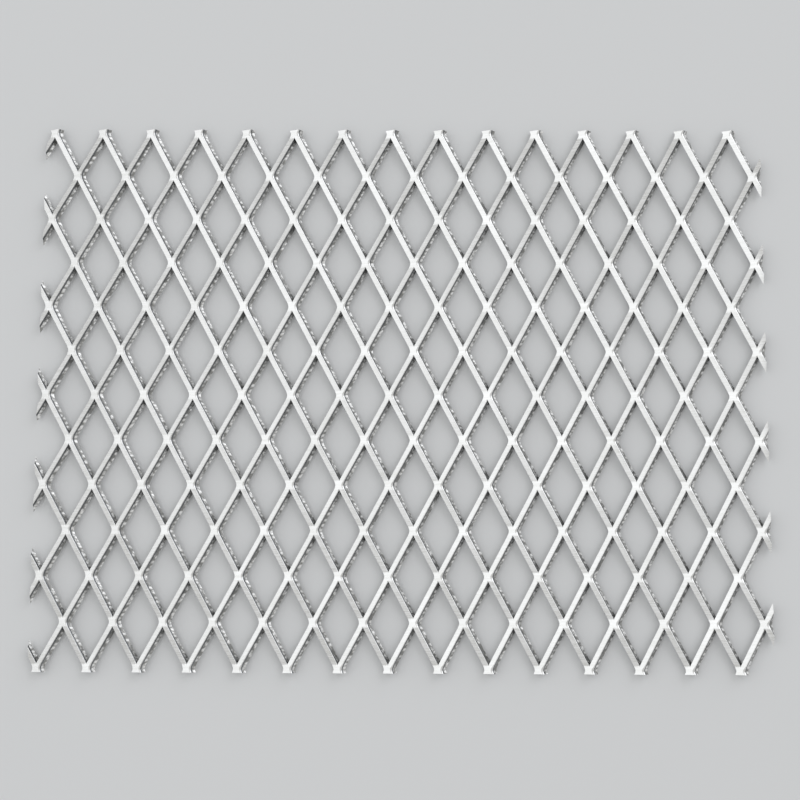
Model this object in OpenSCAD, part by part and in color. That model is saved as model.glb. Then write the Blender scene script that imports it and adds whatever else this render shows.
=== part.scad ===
// Expanded aluminium mesh: a piece sheared out of slit and stretched sheet, levelled, lying flat.
// X runs along the short way of the diamonds, Y along their long way, and Z up from the lowest edges.

/* [Mesh] */
// Long way of the diamonds, from bond centre to bond centre
long_way = 22; // [18:0.5:28]
// Short way of the diamonds, from bond centre to bond centre
short_way = 12; // [9.5:0.5:15]
// Length of a bond, which is the sheet left whole between the ends of two slits
bond_len = 2.15; // [1.9:0.05:3]
// Length of the flat tip of the knife's teeth, which sets a bond's free sides
tip_len = 0.9; // [0.6:0.05:1.2]
// Half the length of the corner where a strand's free side leaves its bond
corner_len = 0.25; // [0.1:0.05:0.25]

/* [Strand] */
// Width of a strand across its rolled face, which is the feed of the sheet from slit to slit
strand_w = 1.3; // [0.9:0.05:1.7]
// Thickness of the sheet
sheet_t = 1.5; // [1:0.05:1.9]
// Tilt of the strands and bonds that levelling leaves
strand_tilt = 27; // [15:1:40]

/* [Piece] */
// Whole strands across the piece, from its first column of bonds to its last
strands = 29; // [15:1:35]
// Whole diamonds along the piece
diamonds = 6; // [4:1:7]
// What is left of the cut strands beside the first column of bonds
left_stub = 2.4; // [1.8:0.1:3]
// What is left of the cut strands beside the last column of bonds
right_stub = 1.8; // [1.8:0.1:3]
// What is left of the end bonds past their centres
end_stub = 0.9; // [0.5:0.1:0.9]

/* [Hidden] */

// Sizes are kept to the micron, so that strands side by side meet face to face
function micron(size) = round(size * 1000) / 1000;

half_way = long_way / 2;
half_bond = bond_len / 2;
half_tip = tip_len / 2;
// A leg of a strand runs straight from the end of one slit to the end of the next
leg_run = half_way - bond_len;
// One strand lies this far from the last, across the tilted sheet and down through it
step_across = micron(short_way / 2 * cos(strand_tilt));
step_down = micron(short_way / 2 * sin(strand_tilt));
column_step = norm([step_across, step_down]);
tilt = atan(step_down / step_across);
// How far a leg shifts across the sheet for its length: it is strand_w wide and touches both slit ends
across_slope = (step_across * leg_run - strand_w * sqrt(step_across ^ 2 + leg_run ^ 2 - strand_w ^ 2))
    / (leg_run ^ 2 - strand_w ^ 2);
// How far a strand's free side shifts from bond to bond
bond_shift = across_slope * (half_way - half_bond - half_tip);
// The highest edges are those of the rolled faces, where a strand bends down at the end of a slit
function level(across, through) = across * sin(tilt) + through * cos(tilt);
mesh_h = 2 * level(strand_w * norm([1, across_slope]), sheet_t / 2);
piece_x = strands * column_step + left_stub + right_stub;
piece_y = diamonds * long_way + 2 * end_stub;

function reversed(points) = [for (i = [len(points) - 1 : -1 : 0]) points[i]];

// A line that runs from bond to bond, to and fro, and one leg past each end of the piece. It is given
// by its turns in a leg that starts at a bond on the near side, each as [sideways, along].
function to_and_fro(turns, first_leg) = [
    for (leg = [first_leg : first_leg + 2 * diamonds + 1])
        let (leaves = leg % 2 == 0)
            for (turn = leaves ? turns : reversed(turns))
                [micron(turn[0]), micron(leg * half_way + (leaves ? turn[1] : half_way - turn[1]))]
];

// What lies between two such lines
module between(near_turns, far_turns, first_leg) {
    polygon(concat(to_and_fro(near_turns, first_leg), reversed(to_and_fro(far_turns, first_leg))));
}

// One strand in the tilted sheet, where it is bent two ways: across the sheet by the stretch, and
// down through it by the knife. X is across, Y along the strand and Z square to the rolled face.
module strand(first_leg) {
    left_side = [
        [0, half_bond],
        [bond_shift - across_slope * corner_len, half_way - half_tip - corner_len],
        [bond_shift, half_way - half_tip + corner_len]
    ];
    right_side = reversed([for (turn = left_side) [step_across - turn[0], half_way - turn[1]]]);
    upper_face = [[sheet_t / 2, half_bond], [sheet_t / 2 - step_down, half_way - half_bond]];
    lower_face = [for (turn = upper_face) turn - [sheet_t, 0]];
    intersection() {
        translate([0, 0, -step_down - sheet_t])
            linear_extrude(step_down + 2 * sheet_t)
                between(left_side, right_side, first_leg);
        rotate([90, 0, 90])
            linear_extrude(step_across)
                mirror([1, -1])
                    between(lower_face, upper_face, first_leg);
    }
}

// Strands side by side, each joined to the next at its bonds, from a cut one to a cut one
module stretched_sheet() {
    for (k = [0 : strands + 1])
        translate([k * step_across, -(diamonds + 1 + k % 2) * half_way, -k * step_down])
            strand(k % 2);
}

// The piece, sheared square out of the sheet once that is turned to lie level
module mesh_sheet() {
    color("silver")
        translate([-column_step + left_stub - piece_x / 2, 0, mesh_h / 2])
            intersection() {
                rotate([0, -tilt, 0]) stretched_sheet();
                translate([column_step - left_stub, -piece_y / 2, -mesh_h])
                    cube([piece_x, piece_y, 2 * mesh_h]);
            }
}

mesh_sheet();
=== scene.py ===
import math

import bmesh
import bpy
from mathutils import Matrix, Vector


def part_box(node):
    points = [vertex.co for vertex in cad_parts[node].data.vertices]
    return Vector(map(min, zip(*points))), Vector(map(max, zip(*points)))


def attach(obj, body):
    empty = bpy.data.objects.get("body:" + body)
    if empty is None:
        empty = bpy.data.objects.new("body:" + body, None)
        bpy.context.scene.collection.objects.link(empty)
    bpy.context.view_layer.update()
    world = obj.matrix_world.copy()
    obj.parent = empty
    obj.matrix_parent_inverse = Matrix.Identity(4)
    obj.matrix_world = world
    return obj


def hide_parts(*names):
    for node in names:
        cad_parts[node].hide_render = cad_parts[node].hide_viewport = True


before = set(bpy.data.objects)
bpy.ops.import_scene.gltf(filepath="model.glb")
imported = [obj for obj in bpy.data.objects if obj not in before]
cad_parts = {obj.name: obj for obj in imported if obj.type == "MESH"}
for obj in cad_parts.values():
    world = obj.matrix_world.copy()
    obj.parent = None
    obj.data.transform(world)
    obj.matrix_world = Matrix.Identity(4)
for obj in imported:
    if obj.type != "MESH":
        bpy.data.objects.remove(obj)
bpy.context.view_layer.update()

mm = 0.001

# The strands are what the knives leave of the sheet: narrow strips of mill finish aluminium, 1.5 mm
# thick, slit from each other and bent sideways and down from bond to bond. Their rolled faces stay
# flat, and each sheared side has a drawn-in edge, a burnished band and a torn band.
long_way = 22 * mm
short_way = 12 * mm
bond_length = 2.15 * mm
tip_length = 0.5 * mm
strand_width = 1.3 * mm
sheet_thickness = 1.5 * mm
strand_tilt = math.radians(27)
diamonds_along = 6
# The shear cuts through the first strand and the last one, and leaves this much of the first
strand_count = 31
left_stub = 2.4 * mm
# A side turns within these distances of its free corner at a bond, and of the end of its slit
corner_bend = 0.25 * mm
slit_bend = 0.15 * mm
# The knives draw the upper right and lower left edges in: a little along a leg, and more beside a bond
rollover_width = 0.14 * mm
rollover_depth = 0.1 * mm
bond_rollover_width = 0.5 * mm
bond_rollover_depth = 0.16 * mm
# The right side's torn band starts this far above the middle of the sheet. It is steep down to its fold,
# this far below the middle, and flares from there to its foot. It stands out this much at the fold and
# the foot. The left side's is the same upside down, but flat
torn_start = 0.05 * mm
torn_fold = 0.25 * mm
fold_slant = 0.05 * mm
torn_slant = 0.34 * mm
# Each strand's marks start this far along from those of the last, so that no two strands are alike
marks_shift = 171.3 * mm
# Points nearer than this to each other are made one, and a point within the slack of a plane is on it
merge_distance = 0.001 * mm
plane_slack = 0.01 * mm

half_way = long_way / 2
half_bond = bond_length / 2
half_tip = tip_length / 2
half_thickness = sheet_thickness / 2
step_across = short_way / 2 * math.cos(strand_tilt)
step_down = short_way / 2 * math.sin(strand_tilt)
# A leg is strand_width wide and runs from the end of one slit to the end of the next
leg_run = half_way - bond_length
leg_length = math.sqrt(step_across ** 2 + leg_run ** 2 - strand_width ** 2)
across_slope = (step_across * leg_run - strand_width * leg_length) / (leg_run ** 2 - strand_width ** 2)
down_slope = step_down / leg_run
bond_share = step_across - across_slope * (half_way - half_bond - half_tip)

ROLLED, BURNISHED, TORN, CUT = range(4)
LEFT, RIGHT = range(2)
# Each corner of a strand's section, clockwise from its upper left one: the side that it is on, how far
# out of that side it stands and its height, beside a leg, beside a bond, and where two strands are one
section_corners = [
    (LEFT, (0, half_thickness), (0, half_thickness), (0, half_thickness)),
    (RIGHT, (-rollover_width, half_thickness), (-bond_rollover_width, half_thickness),
     (-bond_rollover_width, half_thickness)),
    (RIGHT, (0, half_thickness - rollover_depth), (0, half_thickness - bond_rollover_depth),
     (0, half_thickness)),
    (RIGHT, (0, torn_start), (0, torn_start), (0, half_thickness / 2)),
    (RIGHT, (fold_slant, -torn_fold), (fold_slant, -torn_fold), (0, 0)),
    (RIGHT, (torn_slant, -half_thickness), (torn_slant, -half_thickness), (0, -half_thickness)),
    (LEFT, (-rollover_width, -half_thickness), (-bond_rollover_width, -half_thickness),
     (-bond_rollover_width, -half_thickness)),
    (LEFT, (0, rollover_depth - half_thickness), (0, bond_rollover_depth - half_thickness),
     (0, -half_thickness)),
    (LEFT, (0, -torn_start), (0, -torn_start), (0, 0)),
    (LEFT, (0, torn_fold), (0, torn_fold), (0, half_thickness / 2)),
]
corner_count = len(section_corners)
# The faces from each corner to the next one: their finish, and the side where two strands may be one
band_finish = [ROLLED, ROLLED, BURNISHED, TORN, TORN, ROLLED, ROLLED, BURNISHED, TORN, TORN]
band_side = [None, None, RIGHT, RIGHT, RIGHT, None, None, LEFT, LEFT, LEFT]
# The corners that aren't shaded smooth
sharp_corners = (0, 1, 3, 5, 6, 8)
# Where the sections of a leg stand, from the bond that it leaves to the next
near_a_bond = [half_tip - corner_bend, half_tip, half_tip + corner_bend, half_bond - slit_bend,
               half_bond + slit_bend]
leg_distances = near_a_bond + [half_way - distance for distance in reversed(near_a_bond)]


def eased(past, bend):
    """How far a line has gone past a corner that is rounded off within a bend either side of it."""
    return (past + bend) ** 2 / (4 * bend) if abs(past) < bend else max(past, 0)


def one_with_next(side, distance):
    """Whether a side is one with the next strand, at a distance from the last bond on the left."""
    return (distance if side == LEFT else half_way - distance) < half_bond


def place_section(ring, along, distance):
    """Puts a ring of vertices where its section belongs, at a distance from the last bond on the left."""
    to_go = half_way - distance
    left_bend, right_bend = eased(distance - half_bond, slit_bend), eased(half_bond - to_go, slit_bend)
    sides = (across_slope * (left_bend - eased(half_tip - to_go, corner_bend)),
             bond_share + across_slope * (eased(distance - half_tip, corner_bend) - right_bend))
    drop = down_slope * (left_bend - right_bend)
    for vertex, (side, by_leg, by_bond, joined) in zip(ring, section_corners):
        from_bond = distance if side == RIGHT else to_go
        share = min(max((from_bond - half_tip) / half_bond, 0), 1)
        out, height = joined if one_with_next(side, distance) else [
            bond + (leg - bond) * share for bond, leg in zip(by_bond, by_leg)]
        vertex.co = (sides[side] + (out if side == RIGHT else -out), along, height - drop)


def strand_stations(first_leg):
    """Where a strand's sections stand along it, past both edges of the piece, and from its left bonds."""
    reach = diamonds_along * half_way + half_bond + slit_bend
    stations = []
    for i in range(-1, 2 * diamonds_along + 1):
        for distance in leg_distances:
            along = (i - diamonds_along) * half_way + distance
            if abs(along) < reach + plane_slack:
                stations.append((along, distance if (first_leg + i) % 2 == 0 else half_way - distance))
    return stations


def make_strand(first_leg):
    """One strand as an open tube of quads, with the faces left out where it is one with the next."""
    bm = bmesh.new()
    uv = bm.loops.layers.uv.new("strand")
    stations = strand_stations(first_leg)
    ring = [bm.verts.new() for _ in range(corner_count)]
    for i, vertex in enumerate(ring):
        bm.edges.new((vertex, ring[(i + 1) % corner_count]))
    place_section(ring, *stations[0])
    round_strand = [0.0]
    for i in range(corner_count):
        here, there = ring[i].co, ring[(i + 1) % corner_count].co
        round_strand.append(round_strand[-1] + (there - here).length)
    joined_faces = []
    for (before, last), (along, distance) in zip(stations, stations[1:]):
        edges = [bm.edges.get((ring[i], ring[(i + 1) % corner_count])) for i in range(corner_count)]
        made = bmesh.ops.extrude_edge_only(bm, edges=edges)["geom"]
        new = {v for v in made if isinstance(v, bmesh.types.BMVert)}
        pairs = [next((e, e.other_vert(v)) for e in v.link_edges if e.other_vert(v) in new) for v in ring]
        next_ring = [vertex for _, vertex in pairs]
        for i, (edge, _) in enumerate(pairs):
            edge.smooth = i not in sharp_corners
            face = next(f for f in edge.link_faces if ring[(i + 1) % corner_count] in f.verts)
            face.material_index = band_finish[i]
            face.smooth = True
            for loop in face.loops:
                loop[uv].uv = (before if loop.vert in ring else along,
                               round_strand[i if loop.vert in (ring[i], next_ring[i]) else i + 1])
            side = band_side[i]
            if side is not None and one_with_next(side, last) and one_with_next(side, distance):
                joined_faces.append(face)
        ring = next_ring
        place_section(ring, along, distance)
    bmesh.ops.delete(bm, geom=joined_faces, context="FACES")
    mesh = bpy.data.meshes.new("strand")
    bm.to_mesh(mesh)
    bm.free()
    return mesh


def stretch_sheet():
    """Strands side by side, each a step across and a step down from the last, made one at the bonds."""
    bm = bmesh.new()
    strands = [make_strand(0), make_strand(1)]
    for k in range(strand_count):
        verts_before, faces_before = len(bm.verts), len(bm.faces)
        bm.from_mesh(strands[(k + 1) % 2])
        bm.verts.ensure_lookup_table()
        bm.faces.ensure_lookup_table()
        bmesh.ops.translate(bm, verts=bm.verts[verts_before:], vec=(k * step_across, 0, -k * step_down))
        uv = bm.loops.layers.uv["strand"]
        for face in bm.faces[faces_before:]:
            for loop in face.loops:
                loop[uv].uv.x += k * marks_shift
    for mesh in strands:
        bpy.data.meshes.remove(mesh)
    bmesh.ops.remove_doubles(bm, verts=bm.verts, dist=merge_distance)
    return bm


def shear_edge(bm, place, outward):
    """Shears the sheet off at a plane, and closes the ends that this leaves."""
    geom = bm.verts[:] + bm.edges[:] + bm.faces[:]
    bmesh.ops.bisect_plane(bm, geom=geom, plane_co=place, plane_no=outward, clear_outer=True,
                           dist=merge_distance)
    edges = [e for e in bm.edges if e.is_boundary and all(
        abs((v.co - Vector(place)).dot(outward)) < plane_slack for v in e.verts)]
    for edge in edges:
        edge.smooth = False
    for face in bmesh.ops.holes_fill(bm, edges=edges, sides=0)["faces"]:
        face.material_index = CUT
        face.smooth = False


mesh_low, mesh_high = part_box("mesh_sheet")
middle = (mesh_low + mesh_high) / 2
sheet = stretch_sheet()
bmesh.ops.transform(sheet, matrix=Matrix.Rotation(-strand_tilt, 4, "Y"), verts=sheet.verts)
first_bonds = mesh_low.x + left_stub
bmesh.ops.translate(sheet, verts=sheet.verts, vec=(first_bonds - short_way / 2, middle.y, middle.z))
shear_edge(sheet, mesh_low, Vector((-1, 0, 0)))
shear_edge(sheet, mesh_high, Vector((1, 0, 0)))
shear_edge(sheet, mesh_low, Vector((0, -1, 0)))
shear_edge(sheet, mesh_high, Vector((0, 1, 0)))
bmesh.ops.recalc_face_normals(sheet, faces=sheet.faces)
expanded_mesh = bpy.data.objects.new("expanded_mesh", bpy.data.meshes.new("expanded_mesh"))
sheet.to_mesh(expanded_mesh.data)
sheet.free()
bpy.context.scene.collection.objects.link(expanded_mesh)


def linear(colour):
    """An sRGB colour such as "#D0D2D4" as the linear values that the shaders take."""
    parts = [int(colour[i:i + 2], 16) / 255 for i in (1, 3, 5)]
    return [p / 12.92 if p <= 0.04045 else ((p + 0.055) / 1.055) ** 2.4 for p in parts] + [1]


# A Mix node has one output for each kind of data, and this is the one for colours
MIXED_COLOUR = 2


def add_node(tree, kind, links=(), values=(), **settings):
    """Adds a node: settings are its own, values are for its inputs, and links come into its inputs."""
    node = tree.nodes.new(kind)
    for name, value in settings.items():
        setattr(node, name, value)
    sockets = {socket.name: socket for socket in node.inputs if socket.enabled}
    sockets.update({socket.identifier: socket for socket in node.inputs if socket.enabled})
    for name, value in dict(values).items():
        sockets[name].default_value = value
    for name, source in dict(links).items():
        tree.links.new(source, sockets[name])
    return node


def new_material(name):
    """An empty material with a principled shader on its output."""
    material = bpy.data.materials.new(name)
    material.use_nodes = True
    tree = material.node_tree
    tree.nodes.clear()
    shader = add_node(tree, "ShaderNodeBsdfPrincipled")
    add_node(tree, "ShaderNodeOutputMaterial", links={"Surface": shader.outputs["BSDF"]})
    return material, tree, shader


# The mill's lines run across the strands. Real ones are 0.05 mm apart, too fine to show, and are drawn
# this far apart. The sheet is also a little brighter in patches than between them
mill_line_spacing = 0.4 * mm
mill_line_length = 6 * mm
mill_patch_size = 14 * mm


def rolled_mill_aluminium():
    """Sheet as the rolling mill leaves it: satin, with faint lines along the way it was rolled."""
    material, tree, shader = new_material("rolled_mill_aluminium")
    shader.inputs["Metallic"].default_value = 1
    place = add_node(tree, "ShaderNodeTexCoord").outputs["Object"]
    drawn = add_node(tree, "ShaderNodeMapping", {"Vector": place},
                     {"Scale": (1 / mill_line_length, 1 / mill_line_spacing, 1 / mill_line_length)})
    lines = add_node(tree, "ShaderNodeTexNoise", {"Vector": drawn.outputs["Vector"]},
                     {"Scale": 1, "Detail": 3, "Roughness": 0.6})
    patches = add_node(tree, "ShaderNodeTexNoise", {"Vector": place},
                       {"Scale": 1 / mill_patch_size, "Detail": 2})
    blend = add_node(tree, "ShaderNodeMix", {"A": lines.outputs["Fac"], "B": patches.outputs["Fac"]},
                     {"Factor": 0.35})
    spread = add_node(tree, "ShaderNodeMapRange", {"Value": blend.outputs["Result"]},
                      {"From Min": 0.35, "From Max": 0.65})
    tint = add_node(tree, "ShaderNodeMix", {"Factor": spread.outputs["Result"]},
                    {"A": linear("#E0E0DE"), "B": linear("#F5F5F5")}, data_type="RGBA")
    tree.links.new(tint.outputs[MIXED_COLOUR], shader.inputs["Base Color"])
    rough = add_node(tree, "ShaderNodeMapRange", {"Value": lines.outputs["Fac"]},
                     {"From Min": 0.3, "From Max": 0.7, "To Min": 0.25, "To Max": 0.33})
    tree.links.new(rough.outputs["Result"], shader.inputs["Roughness"])
    bump = add_node(tree, "ShaderNodeBump", {"Height": lines.outputs["Fac"]},
                    {"Strength": 0.15, "Distance": 0.02 * mm})
    tree.links.new(bump.outputs["Normal"], shader.inputs["Normal"])
    return material


# Real drag lines are 0.05 mm apart, too fine to show, and are drawn this far apart
drag_line_spacing = 0.3 * mm
drag_line_length = 3 * mm


def burnished_band_and_painted_shade():
    """Where the knife's flank slid down the edge: smooth, with fine drag lines down it, and darkened by
    painted shade.
    """
    material, tree, shader = new_material("burnished_band_and_painted_shade")
    shader.inputs["Metallic"].default_value = 1
    shader.inputs["Roughness"].default_value = 0.28
    along_strand = add_node(tree, "ShaderNodeUVMap", uv_map="strand").outputs["UV"]
    drawn = add_node(tree, "ShaderNodeMapping", {"Vector": along_strand},
                     {"Scale": (1 / drag_line_spacing, 1 / drag_line_length, 1)})
    lines = add_node(tree, "ShaderNodeTexNoise", {"Vector": drawn.outputs["Vector"]},
                     {"Scale": 1, "Detail": 2})
    # Painted shade: the base colour is kept dark so that the band shows as a dark line beside each strand,
    # and the drag lines vary it
    tint = add_node(tree, "ShaderNodeMix", {"Factor": lines.outputs["Fac"]},
                    {"A": linear("#5C5E60"), "B": linear("#9EA0A2")}, data_type="RGBA")
    tree.links.new(tint.outputs[MIXED_COLOUR], shader.inputs["Base Color"])
    return material


# The tear leaves one scallop after another, each about this long and this high
scallop_length = 0.75 * mm
scallop_height = 1.1 * mm


def torn_band_painted_glint_and_shade():
    """Where the sheet tore off below the knife: scalloped, with painted glints on the ridges and painted
    shade in the hollows, so that it shows a row of dots.
    """
    material, tree, shader = new_material("torn_band_painted_glint_and_shade")
    shader.inputs["Metallic"].default_value = 1
    shader.inputs["Roughness"].default_value = 0.45
    along_strand = add_node(tree, "ShaderNodeUVMap", uv_map="strand").outputs["UV"]
    drawn = add_node(tree, "ShaderNodeMapping", {"Vector": along_strand},
                     {"Scale": (1 / scallop_length, 1 / scallop_height, 1)})
    scallops = add_node(tree, "ShaderNodeTexVoronoi", {"Vector": drawn.outputs["Vector"]}, {"Scale": 1})
    ridge_height_and_painted_glint = add_node(tree, "ShaderNodeMapRange", {"Value": scallops.outputs["Distance"]},
                      {"From Min": 0.25, "From Max": 0.7, "To Min": 1, "To Max": 0})
    # Painted glints and painted shade: each scallop's ridge is painted near white and its hollow grey,
    # besides the bump
    tint = add_node(tree, "ShaderNodeMix", {"Factor": ridge_height_and_painted_glint.outputs["Result"]},
                    {"A": linear("#9C9C9A"), "B": linear("#FBFBFA")}, data_type="RGBA")
    tree.links.new(tint.outputs[MIXED_COLOUR], shader.inputs["Base Color"])
    bump = add_node(tree, "ShaderNodeBump", {"Height": ridge_height_and_painted_glint.outputs["Result"]},
                    {"Strength": 0.6, "Distance": 0.15 * mm})
    tree.links.new(bump.outputs["Normal"], shader.inputs["Normal"])
    return material


def sheared_end():
    """The ends that the shear left when the piece was cut out: grey, with drag lines down them."""
    material, tree, shader = new_material("sheared_end")
    shader.inputs["Metallic"].default_value = 1
    shader.inputs["Roughness"].default_value = 0.4
    place = add_node(tree, "ShaderNodeTexCoord").outputs["Object"]
    # The drag lines are drawn as far apart as on the burnished bands
    drawn = add_node(tree, "ShaderNodeMapping", {"Vector": place},
                     {"Scale": (1 / drag_line_spacing, 1 / drag_line_spacing, 1 / drag_line_length)})
    lines = add_node(tree, "ShaderNodeTexNoise", {"Vector": drawn.outputs["Vector"]},
                     {"Scale": 1, "Detail": 2})
    tint = add_node(tree, "ShaderNodeMix", {"Factor": lines.outputs["Fac"]},
                    {"A": linear("#A6A7A7"), "B": linear("#E6E6E5")}, data_type="RGBA")
    tree.links.new(tint.outputs[MIXED_COLOUR], shader.inputs["Base Color"])
    bump = add_node(tree, "ShaderNodeBump", {"Height": lines.outputs["Fac"]},
                    {"Strength": 0.3, "Distance": 0.03 * mm})
    tree.links.new(bump.outputs["Normal"], shader.inputs["Normal"])
    return material


for make_finish in (rolled_mill_aluminium, burnished_band_and_painted_shade, torn_band_painted_glint_and_shade, sheared_end):
    expanded_mesh.data.materials.append(make_finish())
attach(expanded_mesh, "root")
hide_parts("mesh_sheet")

# The floor is a plain pale board, painted matt and five metres wide. Past its edge a low view shows
# the room, which is about as pale.
floor_half = 2.5
bm = bmesh.new()
bmesh.ops.create_grid(bm, x_segments=1, y_segments=1, size=floor_half)
floor = bpy.data.objects.new("floor", bpy.data.meshes.new("floor"))
bm.to_mesh(floor.data)
bm.free()
bpy.context.scene.collection.objects.link(floor)
board, _, board_shader = new_material("matt_pale_board")
board_shader.inputs["Base Color"].default_value = linear("#DCDDDE")
board_shader.inputs["Roughness"].default_value = 0.9
board_shader.inputs["Specular IOR Level"].default_value = 0.2
floor.data.materials.append(board)

# A wide soft light like a window stands high on the left, and a smaller, brighter one low behind the
# mesh on the right. Both are far enough off to light the floor evenly, and a plain pale room fills the
# shadows.
light_distance = 2.5


def add_softbox(name, direction, size, power, colour):
    """A square soft light that faces the mesh from a direction."""
    data = bpy.data.lights.new(name, "AREA")
    data.shape = "SQUARE"
    data.size = size
    data.energy = power
    data.color = linear(colour)[:3]
    lamp = bpy.data.objects.new(name, data)
    away = Vector(direction).normalized()
    lamp.location = away * light_distance
    lamp.rotation_euler = away.to_track_quat("Z", "Y").to_euler()
    lamp.visible_camera = False
    bpy.context.scene.collection.objects.link(lamp)


add_softbox("window_light", (-0.66, 0.14, 0.73), size=2.8, power=14.4, colour="#F9FCFF")
add_softbox("far_light", (0.65, 0.65, 0.45), size=2.2, power=17, colour="#F8FAFF")
world = bpy.data.worlds.new("pale_room")
bpy.context.scene.world = world
world.use_nodes = True
world.node_tree.nodes.clear()
room = add_node(world.node_tree, "ShaderNodeBackground", values={"Color": linear("#CFCFCE"), "Strength": 1})
add_node(world.node_tree, "ShaderNodeOutputWorld", {"Surface": room.outputs["Background"]})

# The camera looks down on the mesh from 0.36 m, a little from the front, as in the photograph. Its
# height is taken from the middle of the sheet, and its angles are in degrees.
camera_place = Vector((2.04 * mm, -50.05 * mm, 363.4 * mm))
camera_angles = (7.68, 0.35, 0.24)
photo_width = 800
focal_pixels = 1500
camera_data = bpy.data.cameras.new("camera")
camera_data.lens = focal_pixels / photo_width * camera_data.sensor_width
camera_data.clip_start = 10 * mm
camera = bpy.data.objects.new("camera", camera_data)
camera.location = camera_place + Vector((0, 0, middle.z))
camera.rotation_euler = [math.radians(a) for a in camera_angles]
bpy.context.scene.collection.objects.link(camera)
bpy.context.scene.camera = camera

bpy.context.scene.view_settings.view_transform = "Standard"
